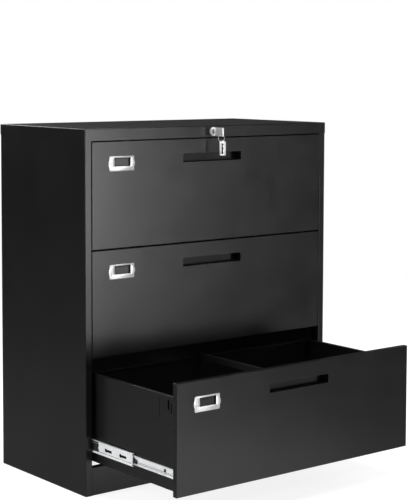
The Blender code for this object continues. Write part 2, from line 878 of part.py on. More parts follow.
def build_lock_bar(cabinet):
    """A flat bar on the back panel, with a hook that reaches into each drawer's back wall."""
    anchor = add_anchor("lock_bar_track", (0, BAR_Y, 0), cabinet)
    half = BAR_WIDTH / 2
    mesh = box_mesh("lock_bar", (-half, 0, BAR_BOTTOM), (half, BAR_THICKNESS, BAR_TOP))
    bar = add_part("lock_bar", mesh, "zinc", anchor)
    tip = HOOK_TIP_Y - BAR_Y
    tip_inner = tip + HOOK_TIP_THICKNESS
    for index, prefix in enumerate(DRAWER_NAMES):
        z = FIRST_DRAWER_Z + index * DRAWER_PITCH + HOOK_Z
        outline = [
            (tip, z),
            (BAR_THICKNESS / 2, z),
            (BAR_THICKNESS / 2, z + HOOK_ARM),
            (tip_inner, z + HOOK_ARM),
            (tip_inner, z + HOOK_RISE),
            (tip, z + HOOK_RISE),
        ]
        name = f"{prefix}_lock_hook"
        stand = (math.radians(90), 0, math.radians(90))
        hook = add_cutter(name, plate_mesh(name, [outline], HOOK_THICKNESS, stand), anchor)
        join(bar, hook)
    pin_z = LOCK_Z - CRANK_RADIUS / math.sqrt(2)
    slot_half = CRANK_PIN_RADIUS + PIN_SLOT_CLEARANCE
    cut_box(
        bar,
        (-CRANK_RADIUS - slot_half, -CUT_PAST, pin_z - slot_half),
        (-CRANK_RADIUS / math.sqrt(2) + slot_half, CUT_PAST, pin_z + slot_half),
        "pin_slot",
    )
    for index, z in enumerate(GUIDE_SLOT_HEIGHTS):
        cut_box(
            bar,
            (-GUIDE_SLOT_HALF_WIDTH, -CUT_PAST, z - GUIDE_SLOT_HALF_HEIGHT),
            (GUIDE_SLOT_HALF_WIDTH, CUT_PAST, z + GUIDE_SLOT_HALF_HEIGHT),
            f"guide_slot_{index}",
        )


def build_key(lock_axis):
    """A flat key in the plug, its outline drawn in the YZ plane about the lock's axis."""
    blade_tip = 14 * MM
    blade_top = 4 * MM
    shoulder = -12 * MM
    bow_end = -47 * MM
    bow_half = 12.5 * MM
    bitting = [
        (blade_tip, 0),
        (11 * MM, -2.8 * MM),
        (8 * MM, -1.4 * MM),
        (5.5 * MM, -3.4 * MM),
        (2.5 * MM, -1.8 * MM),
        (0, -3.8 * MM),
        (-4 * MM, -4 * MM),
        (shoulder, -4 * MM),
    ]
    bow = [
        (shoulder, -bow_half + 4 * MM),
        (shoulder - 4 * MM, -bow_half),
        (bow_end, -bow_half),
        (bow_end, bow_half),
        (shoulder - 4 * MM, bow_half),
        (shoulder, bow_half - 4 * MM),
    ]
    blade_back = [(shoulder, blade_top), (11 * MM, blade_top)]
    bar_top = -bow_half + 3 * MM
    window = rounded_rectangle(
        (KEY_RING_HOLE_Y - 3 * MM, bar_top), (KEY_RING_HOLE_Y + 3 * MM, -3 * MM), 1.5 * MM
    )
    stand = (math.radians(90), 0, math.radians(90))
    mesh = plate_mesh("key", [bitting + bow + blade_back, window], KEY_THICKNESS, stand)
    key = add_part("key", mesh, "chrome", lock_axis)
    join_cylinder(key, "Z", (0, bow_end), 3 * MM, -bow_half, bow_half, "rolled_end")


def build_lock(cabinet):
    lock_axis = add_anchor("lock_axis", (0, 0, LOCK_Z), cabinet)
    build_lock_housing(lock_axis)
    build_lock_nut(lock_axis)
    build_lock_plug(lock_axis)
    build_lock_tailpiece(lock_axis)
    build_lock_bar(cabinet)
    build_key(lock_axis)


# ---------------------------------------------------------------- assembly


clear_scene()
parts = new_collection("filing_cabinet")
cutters = new_collection("cutters")
front_plane = add_anchor("front_plane", (0, FRONT_Y, 0))
build_side_panels(front_plane)
build_back_panel(front_plane)
build_top_cap(front_plane)
build_kick_plate(front_plane)
build_uprights(front_plane)
build_drawers(front_plane)
build_lock(front_plane)
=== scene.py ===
"""Looks of a three-drawer lateral filing cabinet: view, studio light, finishes and small fittings.

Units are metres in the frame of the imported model: +Z is up, and the drawers open towards -Y.
"""

import math

import bmesh
import bpy
from mathutils import Matrix, Vector


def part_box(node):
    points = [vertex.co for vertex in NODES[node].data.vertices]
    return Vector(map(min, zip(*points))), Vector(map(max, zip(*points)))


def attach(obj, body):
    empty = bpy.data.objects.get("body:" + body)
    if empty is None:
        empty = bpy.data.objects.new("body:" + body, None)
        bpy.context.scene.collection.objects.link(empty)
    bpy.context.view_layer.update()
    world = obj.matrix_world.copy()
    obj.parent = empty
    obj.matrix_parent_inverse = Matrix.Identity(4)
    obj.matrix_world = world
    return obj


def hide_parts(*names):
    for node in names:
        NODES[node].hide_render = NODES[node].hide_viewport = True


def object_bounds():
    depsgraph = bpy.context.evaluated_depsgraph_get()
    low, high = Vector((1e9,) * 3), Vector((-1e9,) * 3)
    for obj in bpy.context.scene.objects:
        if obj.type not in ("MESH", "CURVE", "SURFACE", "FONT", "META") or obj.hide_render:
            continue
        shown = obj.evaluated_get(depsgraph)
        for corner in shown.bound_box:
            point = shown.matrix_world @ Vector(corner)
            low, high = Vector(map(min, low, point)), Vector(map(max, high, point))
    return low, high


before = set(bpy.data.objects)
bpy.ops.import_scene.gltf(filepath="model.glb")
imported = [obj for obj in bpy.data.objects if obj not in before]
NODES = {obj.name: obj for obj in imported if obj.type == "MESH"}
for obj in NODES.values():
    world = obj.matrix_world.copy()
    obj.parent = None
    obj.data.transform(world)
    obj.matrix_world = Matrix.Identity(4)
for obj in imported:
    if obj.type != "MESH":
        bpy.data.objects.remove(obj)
cad_low, cad_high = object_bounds()

MM = 0.001
DRAWERS = ("bottom", "middle", "top")
SIDES = (("left", -1), ("right", 1))
FORWARDS, BACKWARDS = (0, -1, 0), (0, 1, 0)
SHARP_ANGLE = math.radians(35)
LOCK_Z = (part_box("lock_plug")[0].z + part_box("lock_plug")[1].z) / 2

# Camera: an upright one with a long lens, its picture shifted down instead of tilted
CAMERA_PLACE = (-2.6481, -3.3106, 1.1875)
CAMERA_YAW = math.radians(38.578)
CAMERA_PITCH = math.radians(4.176)
CAMERA_ROLL = math.radians(0.159)
CAMERA_LENS = 103.795
CAMERA_SHIFT_Y = -0.15

# The label holders: how far the ears reach out, and the window's middle and half sizes
LABEL_EAR_REACH = 3 * MM
LABEL_EAR_RADIUS = 16.5 * MM
LABEL_WINDOW = Vector((2.5 * MM, 4.25 * MM))
LABEL_WINDOW_HALF = (27.5 * MM, 12 * MM)

# The slides: how far out from the drawer's side the inner and middle members' faces are, how
# far a painted shadow line's strip stands proud of them, and the balls in a row
INNER_FACE = 1.5 * MM
MIDDLE_FACE = 9.0 * MM
SHADOW_LINE_RISE = 0.15 * MM
BALLS = 9

# The plastic stop on each middle member, and the latch hole near the inner member's front end
STOP_START = 160 * MM
STOP_END = 206 * MM
LATCH_HOLE_START = 37 * MM
LATCH_HOLE = 10 * MM

# Rivet and screw heads: how deep they are rooted in the sheet, and a pan head's radius and rise
HEAD_ROOT = 0.3 * MM
PAN_HEAD = (4.2 * MM, 2.2 * MM)

# Holes in the side returns of the drawer fronts
RETURN_HOLES = (43 * MM, 174 * MM, 222 * MM)
RETURN_HOLE_Y = 10 * MM

# Strength of the even surround that the object reflects, and the soft glows on it:
# azimuth from -Y towards +X, elevation, outer and inner half angle in degrees, strength
SURROUND = 0.04
GLOWS = (
    (25, -3.5, 9, 2, 16.8),
    (16, -12, 22, 4, 1.2),
    (-142, -38, 32, 6, 0.55),
    (95, 12, 32, 6, 1.6),
    (175, 28, 31, 6, 1.8),
)

# The white floor, lit a little by itself, and the distances between which it fades out
FLOOR_RADIUS = 6.0
FLOOR_FADE = (1.6, 4.5)
FLOOR_GREY = 0.30
FLOOR_LIGHT = 0.86

# What the object reflects of the floor: an even glow that fades out, and a brighter pool
# in front of the cabinet, whose strength falls to the glow's between two distances
GLOW_RADIUS = 3.0
GLOW_FADE = (1.0, 2.8)
FLOOR_GLOW = 0.22
FLOOR_POOL = 1.02
POOL_CENTRE = (-0.2, -0.88, 0)
POOL_REACH = (0.1, 1.1)


# ---------------------------------------------------------------- finishes


class Finish:
    """A material and its nodes. Every texture is read at the object's own coordinates."""

    def __init__(self, name):
        self.material = bpy.data.materials.new(name)
        self.material.use_nodes = True
        self.tree = self.material.node_tree
        self.shader = self.tree.nodes["Principled BSDF"]
        self.place = self.tree.nodes.new("ShaderNodeTexCoord").outputs["Object"]
        self.height = None

    def constant(self, **values):
        for label, value in values.items():
            self.shader.inputs[label.replace("_", " ")].default_value = value
        return self

    def node(self, kind, **settings):
        made = self.tree.nodes.new(kind)
        for key, value in settings.items():
            setattr(made, key, value)
        return made

    def feed(self, made, **inputs):
        for label, value in inputs.items():
            socket = made.inputs[label.replace("_", " ")]
            if isinstance(value, bpy.types.NodeSocket):
                self.tree.links.new(value, socket)
            else:
                socket.default_value = value
        return made

    def stretched(self, stretch):
        mapping = self.feed(self.node("ShaderNodeMapping"), Vector=self.place, Scale=stretch)
        return mapping.outputs["Vector"]

    def noise(self, scale, detail=3.0, roughness=0.55, stretch=(1, 1, 1)):
        made = self.feed(
            self.node("ShaderNodeTexNoise"), Vector=self.stretched(stretch),
            Scale=scale, Detail=detail, Roughness=roughness,
        )
        return made.outputs["Fac"]

    def cells(self, scale, stretch=(1, 1, 1)):
        made = self.feed(
            self.node("ShaderNodeTexVoronoi"), Vector=self.stretched(stretch), Scale=scale
        )
        return made.outputs["Distance"]

    def between(self, value, low, high, from_low=0.3, from_high=0.7):
        """The value's range made to run from low to high."""
        made = self.node("ShaderNodeMapRange", clamp=True)
        for index, number in enumerate((from_low, from_high, low, high)):
            made.inputs[index + 1].default_value = number
        self.tree.links.new(value, made.inputs[0])
        return made.outputs[0]

    def colour(self, value, dark, light):
        """Base colour running from dark to light with the value."""
        ramp = self.node("ShaderNodeValToRGB")
        ramp.color_ramp.elements[0].color = (*dark, 1)
        ramp.color_ramp.elements[0].position = 0.3
        ramp.color_ramp.elements[1].color = (*light, 1)
        ramp.color_ramp.elements[1].position = 0.7
        self.tree.links.new(value, ramp.inputs["Fac"])
        self.tree.links.new(ramp.outputs["Color"], self.shader.inputs["Base Color"])
        return self

    def rough(self, value, low, high):
        self.tree.links.new(self.between(value, low, high), self.shader.inputs["Roughness"])
        return self

    def relief(self, value, depth, strength=1.0):
        """Bump, on top of the bump already there. The depth is in metres."""
        bump = self.feed(
            self.node("ShaderNodeBump"), Height=value, Distance=depth, Strength=strength
        )
        if self.height is not None:
            self.tree.links.new(self.height, bump.inputs["Normal"])
        self.height = bump.outputs["Normal"]
        self.tree.links.new(self.height, self.shader.inputs["Normal"])
        return self


def powder_coat(name, dark, light, low_rough, high_rough, gloss=0.5):
    """Satin black powder coat: an orange-peel skin over sheet that isn't quite flat."""
    made = Finish(name)
    made.constant(Metallic=0.0, Specular_IOR_Level=gloss)
    made.colour(made.noise(6, 4), dark, light)
    made.rough(made.noise(14, 5), low_rough, high_rough)
    made.relief(made.noise(2.2, 1), 0.6 * MM)
    made.relief(made.noise(520, 2, 0.4), 0.022 * MM)
    made.relief(made.noise(2400, 1), 0.006 * MM)
    return made.material


def plated(name, dark, light, low_rough, high_rough, metallic, grain=None):
    """Plated or bare metal, with fine drawing lines where the sheet was rolled."""
    made = Finish(name)
    made.constant(Metallic=metallic)
    made.colour(made.noise(40, 4), dark, light)
    made.rough(made.noise(90, 4), low_rough, high_rough)
    if grain:
        made.relief(made.noise(900, 3, 0.6, grain), 0.02 * MM)
    made.relief(made.noise(260, 2), 0.01 * MM)
    return made.material


def moulded(name, dark, light, low_rough, high_rough, gloss=0.5):
    """Moulded plastic with a fine spark-eroded grain."""
    made = Finish(name)
    made.constant(Metallic=0.0, Specular_IOR_Level=gloss)
    made.colour(made.noise(60, 3), dark, light)
    made.rough(made.noise(120, 3), low_rough, high_rough)
    made.relief(made.cells(1600), 0.015 * MM)
    return made.material


def make_finishes():
    along_y = (1, 0.03, 1)
    paint = ((0.0042, 0.0042, 0.0044), (0.0060, 0.0060, 0.0063))
    return {
        "carcass_paint": powder_coat("satin_black_carcass", *paint, 0.21, 0.25),
        "front_paint": powder_coat("satin_black_fronts", *paint, 0.21, 0.25),
        "box_paint": powder_coat("satin_black_boxes", *paint, 0.30, 0.36),
        "recess_paint": powder_coat("matt_black_recess", *paint, 0.46, 0.54, 0.3),
        # pocket_black is a dead black used only for painted shade: inside the slides' middle
        # members, along the label windows' edges and over the front returns' holes
        "pocket_black": moulded(
            "pocket_black", (0.003, 0.003, 0.003), (0.005, 0.005, 0.005), 0.7, 0.8, 0.1
        ),
        "slide_zinc": plated(
            "bright_zinc", (0.82, 0.83, 0.84), (0.91, 0.92, 0.93), 0.30, 0.42, 0.35, along_y
        ),
        "label_chrome": plated(
            "label_chrome", (0.66, 0.66, 0.67), (0.78, 0.78, 0.79), 0.32, 0.42, 0.75
        ),
        "lock_chrome": plated(
            "lock_chrome", (0.84, 0.84, 0.85), (0.90, 0.90, 0.91), 0.28, 0.38, 0.7
        ),
        "lock_steel": plated(
            "lock_steel", (0.44, 0.44, 0.45), (0.56, 0.56, 0.57), 0.26, 0.38, 1.0, (1, 1, 0.05)
        ),
        "key_nickel": plated(
            "key_nickel", (0.70, 0.70, 0.69), (0.82, 0.82, 0.81), 0.30, 0.42, 0.7, (1, 0.05, 1)
        ),
        "stop_plastic": moulded(
            "stop_plastic", (0.010, 0.010, 0.010), (0.016, 0.016, 0.016), 0.42, 0.55
        ),
    }


def dress_nodes(finishes):
    """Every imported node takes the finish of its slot, but the recess boxes a duller one."""
    for name, node in NODES.items():
        for index, material in enumerate(node.data.materials):
            slot = "recess_paint" if "recess" in name else material.name.split(".")[0]
            node.data.materials[index] = finishes[slot]


# ---------------------------------------------------------------- meshes


def add_piece(name, bm, slot, body, finish=None):
    """A fitting made here: it has a slot's finish or its own, and moves with a body."""
    bmesh.ops.recalc_face_normals(bm, faces=bm.faces)
    mesh = bpy.data.meshes.new(name)
    bm.to_mesh(mesh)
    bm.free()
    mesh.materials.append(finishes[finish or slot])
    mesh.shade_smooth()
    mesh.set_sharp_from_angle(angle=SHARP_ANGLE)
    piece = bpy.data.objects.new(name, mesh)
    bpy.context.scene.collection.objects.link(piece)
    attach(piece, body)
    return piece


def add_block(bm, low, high, rounding=0.0):
    """A block between two corners, in either order along X, its edges rounded."""
    low, high = Vector(low), Vector(high)
    if low.x > high.x:
        low.x, high.x = high.x, low.x
    verts = bmesh.ops.create_cube(bm, size=1.0)["verts"]
    for vert in verts:
        vert.co = (low + high) / 2 + vert.co * (high - low)
    if rounding:
        edges = list(dict.fromkeys(edge for vert in verts for edge in vert.link_edges))
        bmesh.ops.bevel(
            bm, geom=edges, offset=rounding, segments=2, profile=0.5, affect="EDGES"
        )


def add_turned(bm, profile, place, direction, steps=24, closed=False):
    """A solid of revolution: profile points are (radius, distance along the direction)."""
    along = Vector(direction).normalized()
    across = along.orthogonal().normalized()
    third = along.cross(across)
    turns = [2 * math.pi * step / steps for step in range(steps)]
    rings = []
    for radius, distance in profile:
        centre = Vector(place) + along * distance
        if radius == 0:
            rings.append([bm.verts.new(centre)])
        else:
            rings.append([
                bm.verts.new(centre + radius * (across * math.cos(turn) + third * math.sin(turn)))
                for turn in turns
            ])
    if closed:
        rings.append(rings[0])
    for near, far in zip(rings, rings[1:]):
        for step in range(steps):
            after = step + 1
            corners = (
                near[step % len(near)], near[after % len(near)],
                far[after % len(far)], far[step % len(far)],
            )
            bm.faces.new(tuple(dict.fromkeys(corners)))


def add_ball(bm, centre, radius):
    bmesh.ops.create_icosphere(
        bm, subdivisions=2, radius=radius, matrix=Matrix.Translation(centre)
    )


def add_rivet(bm, place, direction, radius, rise):
    """A low domed head standing on a face."""
    profile = [(0, -HEAD_ROOT), (radius, -HEAD_ROOT), (radius, 0.25 * rise)]
    for step in range(1, 4):
        turn = math.radians(90 * step / 4)
        profile.append((radius * math.cos(turn), rise * (0.25 + 0.75 * math.sin(turn))))
    profile.append((0, rise))
    add_turned(bm, profile, place, direction, 16)


def add_screw(bm, place, direction, radius, rise):
    """A pan head with a cross recess, its slots drawn as four sunk sectors.

    Its rings run from the rim up over the head and down into the recess, each at a share of
    the radius and a height.
    """
    along = Vector(direction).normalized()
    across = along.orthogonal().normalized()
    third = along.cross(across)
    arms = 8
    steps = 4 * arms

    def ring(share, height, recess=0.0):
        made = []
        for step in range(steps):
            turn = 2 * math.pi * step / steps
            in_slot = step % arms in (0, 1, arms - 1)
            sunk = recess if in_slot else 0.0
            out = across * math.cos(turn) + third * math.sin(turn)
            made.append(bm.verts.new(
                Vector(place) + out * radius * share + along * (height - sunk)
            ))
        return made

    rings = [
        ring(1.0, -HEAD_ROOT),
        ring(1.0, 0.45 * rise),
        ring(0.86, 0.85 * rise),
        ring(0.62, rise),
        ring(0.54, rise, 0.55 * rise),
        ring(0.16, rise, 0.55 * rise),
        ring(0.10, 0.4 * rise),
    ]
    for near, far in zip(rings, rings[1:]):
        for step in range(steps):
            after = (step + 1) % steps
            bm.faces.new((near[step], near[after], far[after], far[step]))
    bm.faces.new(rings[-1])
    bm.faces.new(rings[0])


def rounded_rectangle(half_width, half_height, radius, steps=4):
    """Outline points, anticlockwise from the lower right corner."""
    points = []
    corners = (
        (half_width - radius, -half_height + radius, -90),
        (half_width - radius, half_height - radius, 0),
        (-half_width + radius, half_height - radius, 90),
        (-half_width + radius, -half_height + radius, 180),
    )
    for across, up, start in corners:
        for step in range(steps + 1):
            turn = math.radians(start + 90 * step / steps)
            points.append((across + radius * math.cos(turn), up + radius * math.sin(turn)))
    return points


def stamping(outlines, thickness, rounding, matrix):
    """A flat stamping with rounded edges: its edge's outline first, then those of its holes."""
    curve = bpy.data.curves.new("outline", "CURVE")
    curve.dimensions = "2D"
    curve.fill_mode = "BOTH"
    curve.extrude = thickness / 2 - rounding
    curve.bevel_depth = rounding
    curve.bevel_resolution = 1
    curve.offset = -rounding
    for outline in outlines:
        spline = curve.splines.new("POLY")
        spline.points.add(len(outline) - 1)
        for point, (across, up) in zip(spline.points, outline):
            point.co = (across, up, 0, 1)
        spline.use_cyclic_u = True
    guide = bpy.data.objects.new("outline", curve)
    bpy.context.scene.collection.objects.link(guide)
    bpy.context.view_layer.update()
    evaluated = guide.evaluated_get(bpy.context.evaluated_depsgraph_get())
    mesh = bpy.data.meshes.new_from_object(evaluated)
    bpy.data.objects.remove(guide, do_unlink=True)
    mesh.transform(matrix)
    bm = bmesh.new()
    bm.from_mesh(mesh)
    bpy.data.meshes.remove(mesh)
    bmesh.ops.remove_doubles(bm, verts=bm.verts, dist=0.01 * MM)
    return bm


# ---------------------------------------------------------------- fittings


class Slide:
    """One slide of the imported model: its drawer side's outer face, centre and member ends."""

    def __init__(self, drawer, word):
        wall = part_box(f"{drawer}_drawer_{word}_side")
        low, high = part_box(f"{drawer}_{word}_slide_outer")
        self.name = f"{drawer}_{word}"
        self.drawer_body = f"{drawer}_drawer"
        self.middle_body = f"{drawer}_slide_middles"
        self.side = -1 if word == "left" else 1
        self.outwards = (self.side, 0, 0)
        self.face = wall[0].x if self.side < 0 else wall[1].x
        self.centre = (low.z + high.z) / 2
        self.outer_front = low.y
        self.middle_front, self.middle_rear = [
            corner.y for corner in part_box(f"{drawer}_{word}_slide_middle")
        ]
        self.inner_front, self.inner_rear = [
            corner.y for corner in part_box(f"{drawer}_{word}_slide_inner")
        ]

    def spot(self, out, y, up):
        """The point this far out from the drawer's side, at this Y and above the centre."""
        return (self.face + self.side * out, y, self.centre + up)

    def block(self, bm, out, along, up, rounding=0.0):
        """A block between two distances out, two places in Y and two levels about the centre."""
        low = self.spot(out[0], along[0], up[0])
        high = self.spot(out[1], along[1], up[1])
        add_block(bm, low, high, rounding)


def add_ball_cages(slide):
    """Two cages of balls to a slide: in the outer races behind, in the inner races in front."""
    for name, level, half, out, radius, start, end in (
        ("inner", 14.2 * MM, 1.2 * MM, 4.5 * MM, 2.0 * MM,
         slide.middle_front + 12 * MM, slide.middle_front + 188 * MM),
        ("outer", 19.45 * MM, 1.1 * MM, 7.4 * MM, 1.75 * MM,
         slide.middle_rear - 138 * MM, slide.middle_rear - 10 * MM),
    ):
        strip = (out - 0.35 * MM, out + 0.35 * MM)
        ends = (start - 6 * MM, end + 6 * MM)
        bm = bmesh.new()
        for sign in (-1, 1):
            edges = sorted((sign * (level - half), sign * (level + half)))
            slide.block(bm, strip, ends, edges, 0.15 * MM)
            for index in range(BALLS):
                y = start + (end - start) * index / (BALLS - 1)
                add_ball(bm, slide.spot(out, y, sign * level), radius)
        add_piece(f"{slide.name}_{name}_ball_cage", bm, "slide_zinc", slide.middle_body)


def add_slide_shade(slide):
    """Painted shade: a dead-black block inside the middle member, which darkens what shows through
    its openings.
    """
    ends = (slide.middle_front + 3 * MM, slide.middle_front + 178 * MM)
    bm = bmesh.new()
    slide.block(bm, (6.6 * MM, 7.5 * MM), ends, (-9 * MM, 9 * MM), 0.2 * MM)
    add_piece(
        f"{slide.name}_slide_shade", bm, "stop_plastic", slide.middle_body, "pocket_black"
    )


def add_slide_stop(slide):
    """The stop on the middle member: two arms and the web between them, and above them a dark
    strip that is painted shade for the outer member's shaded front end.
    """
    start, end = slide.middle_front + STOP_START, slide.middle_front + STOP_END
    arm, web, strip = (9.05 * MM, 10.3 * MM), (9.05 * MM, 9.6 * MM), (10.42 * MM, 11.1 * MM)
    bm = bmesh.new()
    slide.block(bm, arm, (start, end), (3 * MM, 11 * MM), 0.4 * MM)
    slide.block(bm, arm, (start, end), (-11 * MM, -3 * MM), 0.4 * MM)
    slide.block(bm, web, (start + 3 * MM, end), (-4 * MM, 4 * MM), 0.2 * MM)
    # painted shade: this strip darkens the upper race, as the outer member's shaded front end
    # would
    slide.block(bm, strip, (start, end), (12.4 * MM, 16.8 * MM), 0.25 * MM)
    add_piece(f"{slide.name}_slide_stop", bm, "stop_plastic", slide.middle_body)


def add_slide_shadow_lines(slide):
    """Painted shadow lines: thin dark strips laid on the middle and inner members, where shade
    falls below the steps and returns of their webs.
    """
    ends = (slide.middle_front + 2 * MM, slide.middle_front + STOP_START)
    bm = bmesh.new()
    slide.block(bm, (MIDDLE_FACE, MIDDLE_FACE + SHADOW_LINE_RISE), ends, (-10.6 * MM, -9.5 * MM))
    add_piece(f"{slide.name}_middle_groove", bm, "stop_plastic", slide.middle_body)
    ends = (slide.inner_front + 2 * MM, slide.inner_rear - 2 * MM)
    bm = bmesh.new()
    for levels in ((-8.0 * MM, -7.0 * MM), (-4.4 * MM, -3.6 * MM)):
        slide.block(bm, (INNER_FACE, INNER_FACE + SHADOW_LINE_RISE), ends, levels)
    add_piece(f"{slide.name}_inner_shadow_lines", bm, "stop_plastic", slide.drawer_body)


def add_slide_end_tab(slide):
    """A tab with two rivets across the middle member's front end."""
    start, skin = slide.middle_front + 0.5 * MM, 9.9 * MM
    bm = bmesh.new()
    slide.block(
        bm, (MIDDLE_FACE + 0.02 * MM, skin), (start, slide.middle_front + 11 * MM),
        (-8 * MM, 8 * MM), 0.3 * MM,
    )
    for level in (-4.5 * MM, 4.5 * MM):
        spot = slide.spot(skin, start + 5 * MM, level)
        add_rivet(bm, spot, slide.outwards, 1.5 * MM, 0.45 * MM)
    add_piece(f"{slide.name}_slide_end_tab", bm, "slide_zinc", slide.middle_body)


def add_release_lever(slide):
    """The lever on the inner member that frees the drawer: a thumb piece and its tongue."""
    start = slide.inner_front + 164 * MM
    thumb, tongue = (1.7 * MM, 5.6 * MM), (1.7 * MM, 3.6 * MM)
    bm = bmesh.new()
    slide.block(bm, thumb, (start, start + 9 * MM), (-8.5 * MM, 2 * MM), 0.8 * MM)
    slide.block(
        bm, tongue, (start + 5 * MM, start + 60 * MM), (-3.2 * MM, 3.2 * MM), 0.5 * MM
    )
    add_piece(f"{slide.name}_release_lever", bm, "stop_plastic", slide.drawer_body)


def add_slide_rivets(slide):
    """Rivets and a rib on the inner member, and the raised rim round its latch hole."""
    bm = bmesh.new()
    for along in (18 * MM, 148 * MM, 240 * MM, 330 * MM):
        spot = slide.spot(INNER_FACE, slide.inner_front + along, 0)
        add_rivet(bm, spot, slide.outwards, 2.8 * MM, 1.3 * MM)
    ends = (slide.inner_front + 3 * MM, slide.inner_rear - 3 * MM)
    slide.block(bm, (1.4 * MM, 2.5 * MM), ends, (-6.6 * MM, -4.6 * MM), 0.5 * MM)
    raised, width = (1.45 * MM, 2.4 * MM), 1.0 * MM
    rim = LATCH_HOLE / 2 + 1.2 * MM
    hole = slide.inner_front + LATCH_HOLE_START + LATCH_HOLE / 2
    for sign in (-1, 1):
        edges = sorted((sign * (rim - width), sign * rim))
        slide.block(bm, raised, (hole - rim, hole + rim), edges, 0.2 * MM)
        slide.block(bm, raised, [hole + edge for edge in edges], (-rim, rim), 0.2 * MM)
    add_piece(f"{slide.name}_slide_rivets", bm, "slide_zinc", slide.drawer_body)


def add_slide_buffer(slide):
    """Plastic buffers above and below, at the outer member's mouth."""
    ends = (slide.outer_front - 0.8 * MM, slide.outer_front + 7 * MM)
    bm = bmesh.new()
    for levels in ((19 * MM, 21.2 * MM), (-21.2 * MM, -19 * MM)):
        slide.block(bm, (5.2 * MM, 11.3 * MM), ends, levels, 0.4 * MM)
    add_piece(f"{slide.name}_slide_buffer", bm, "stop_plastic", "cabinet")


def add_slide_fittings(drawer, word):
    slide = Slide(drawer, word)
    add_ball_cages(slide)
    add_slide_shade(slide)
    add_slide_stop(slide)
    add_slide_shadow_lines(slide)
    add_slide_end_tab(slide)
    add_release_lever(slide)
    add_slide_rivets(slide)
    add_slide_buffer(slide)


def add_rod(bm, start, end, radius):
    """A round bar with domed ends."""
    start, end = Vector(start), Vector(end)
    length = (end - start).length
    profile = [
        (0, 0), (0.7 * radius, 0.3 * radius), (radius, radius), (radius, length - radius),
        (0.7 * radius, length - 0.3 * radius), (0, length),
    ]
    add_turned(bm, profile, start, end - start, 10)


def label_outline(half_width, half_height, ear, reach, corner):
    """A plate with a half-round ear at the middle of each end, anticlockwise."""
    spread = math.sqrt(ear ** 2 - (ear - reach) ** 2)
    sweep = math.atan2(spread, ear - reach)
    right = [
        (half_width - (ear - reach) + ear * math.cos(turn), ear * math.sin(turn))
        for turn in (sweep * (step / 5 - 1) for step in range(11))
    ]
    quarter = [math.radians(90 * step / 4) for step in range(5)]
    top_right = [
        (half_width - corner * (1 - math.cos(turn)), half_height - corner * (1 - math.sin(turn)))
        for turn in quarter
    ]
    upper = right + top_right
    left = [(-across, up) for across, up in reversed(upper)]
    lower = [(-across, -up) for across, up in top_right]
    last = [(across, -up) for across, up in reversed(top_right)]
    return upper + left + lower + last


def add_label_frame(drawer):
    """A stamped, plated card holder: raised rims round its window, ridges and rivets."""
    low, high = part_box(f"{drawer}_label_holder")
    middle = (low + high) / 2
    half_width = (high.x - low.x) / 2 - LABEL_EAR_REACH
    half_height = (high.z - low.z) / 2
    sheet = 0.9 * MM
    facing = Matrix.Rotation(math.radians(90), 4, "X")
    window = [
        (across + LABEL_WINDOW.x, up + LABEL_WINDOW.y)
        for across, up in reversed(rounded_rectangle(*LABEL_WINDOW_HALF, 1.5 * MM))
    ]
    back = high.y - sheet / 2
    plate = Matrix.Translation((middle.x, back, middle.z)) @ facing
    outline = label_outline(
        half_width, half_height, LABEL_EAR_RADIUS, LABEL_EAR_REACH, 3 * MM
    )
    bm = stamping([outline, window], sheet, 0.25 * MM, plate)

    skin = high.y - sheet

    def at(across, up, proud=0.0):
        return (middle.x + across, skin - proud, middle.z + up)

    ridge, sunk = 1.3 * MM, -0.2 * MM
    reach, rise = half_width - 4 * MM, half_height - 3 * MM
    # the rolled edges of the long sides, and the ridges beside the window
    for up in (rise + 0.6 * MM, -rise - 0.6 * MM, -rise + 3.6 * MM):
        add_rod(bm, at(-reach, up, sunk), at(reach, up, sunk), ridge)
    for across in (-reach + 1.5 * MM, reach - 1.5 * MM):
        add_rod(bm, at(across, -rise + 3 * MM, sunk), at(across, rise, sunk), ridge)
    inner_ridge = -reach + 8 * MM
    add_rod(bm, at(inner_ridge, -8 * MM, -0.1 * MM), at(inner_ridge, 13 * MM, -0.1 * MM), ridge)
    for across in (-1, 1):
        for up in (-1, 1):
            spot = at(across * (half_width - 3.2 * MM), up * (half_height - 3.2 * MM))
            add_rivet(bm, spot, FORWARDS, 2.6 * MM, 1.5 * MM)
        add_rivet(bm, at(across * (half_width - 0.6 * MM), 0), FORWARDS, 2.4 * MM, 1.3 * MM)
    piece = add_piece(f"{drawer}_label_frame", bm, "label_chrome", f"{drawer}_drawer")
    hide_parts(f"{drawer}_label_holder")


def add_window_shade(drawer):
    """Painted shadow: dead-black strips along the edges of the label holder's window, where its
    raised rims shade the drawer front, widest on the right.
    """
    low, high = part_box(f"{drawer}_label_holder")
    middle = (low + high) / 2
    half_width, half_height = (half - 0.2 * MM for half in LABEL_WINDOW_HALF)
    right, top = LABEL_WINDOW.x + half_width, LABEL_WINDOW.y + half_height
    left, bottom = right - 2 * half_width, top - 2 * half_height
    edge = 0.7 * MM
    bm = bmesh.new()
    for first, last in (
        ((right - 6.3 * MM, bottom), (right - 1.2 * MM, top)),
        ((left, top - 2.2 * MM), (right, top)),
        ((left, bottom), (right, bottom + 1.6 * MM)),
        ((left, bottom), (left + 1.6 * MM, top)),
    ):
        add_block(
            bm, (middle.x + first[0], high.y - edge, middle.z + first[1]),
            (middle.x + last[0], high.y - 0.05 * MM, middle.z + last[1]), 0.1 * MM,
        )
    add_piece(
        f"{drawer}_window_shade", bm, "stop_plastic", f"{drawer}_drawer", "pocket_black"
    )


